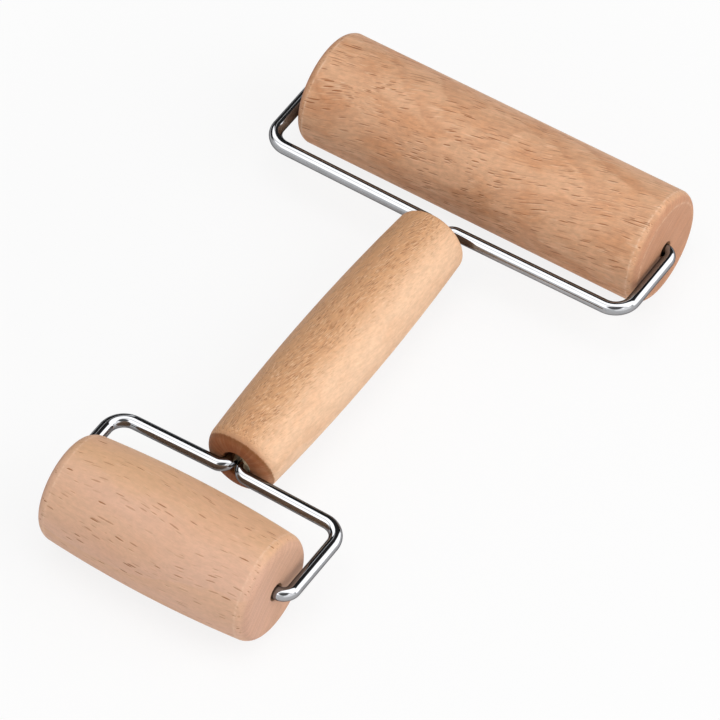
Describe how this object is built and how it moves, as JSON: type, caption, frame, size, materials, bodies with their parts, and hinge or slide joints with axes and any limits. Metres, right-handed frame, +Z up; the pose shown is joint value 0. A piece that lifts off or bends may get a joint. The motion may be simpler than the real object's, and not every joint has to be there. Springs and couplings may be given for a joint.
{
  "type": "double-ended hand roller",
  "caption": "Wooden hand roller with a wide straight roller and a short barrel-shaped roller, each turning on a bent wire frame set into a turned handle.",
  "frame": {"origin": "on the worktop, under the middle of the tool's bounding box, with both rollers resting on z = 0", "axes": "+X along the roller axles, +Y along the handle from the barrel roller to the wide roller, +Z up"},
  "size_m": [0.114, 0.1828, 0.032],
  "materials": {
    "handle_beech": "fine sanded, oiled",
    "roller_beech": "fine sanded, oiled",
    "polished_steel": "mirror polished",
    "set_adhesive": "set clear-grey resin"
  },
  "bodies": {
    "handle_and_frames": {"handle": "handle_beech", "wide_frame": "polished_steel", "narrow_frame": "polished_steel", "wide_socket_adhesive": "set_adhesive", "narrow_socket_adhesive": "set_adhesive"},
    "wide_roller_body": {"wide_roller": "roller_beech"},
    "barrel_roller_body": {"barrel_roller": "roller_beech"}
  },
  "joints": [
    {"name": "wide_roller_spin", "type": "hinge", "parent": "handle_and_frames", "child": "wide_roller_body", "pos_m": [0, 0.0754, 0.016], "axis": [1, 0, 0], "continuous": true},
    {"name": "barrel_roller_spin", "type": "hinge", "parent": "handle_and_frames", "child": "barrel_roller_body", "pos_m": [-0.0006, -0.0754, 0.016], "axis": [1, 0, 0], "continuous": true}
  ]
}
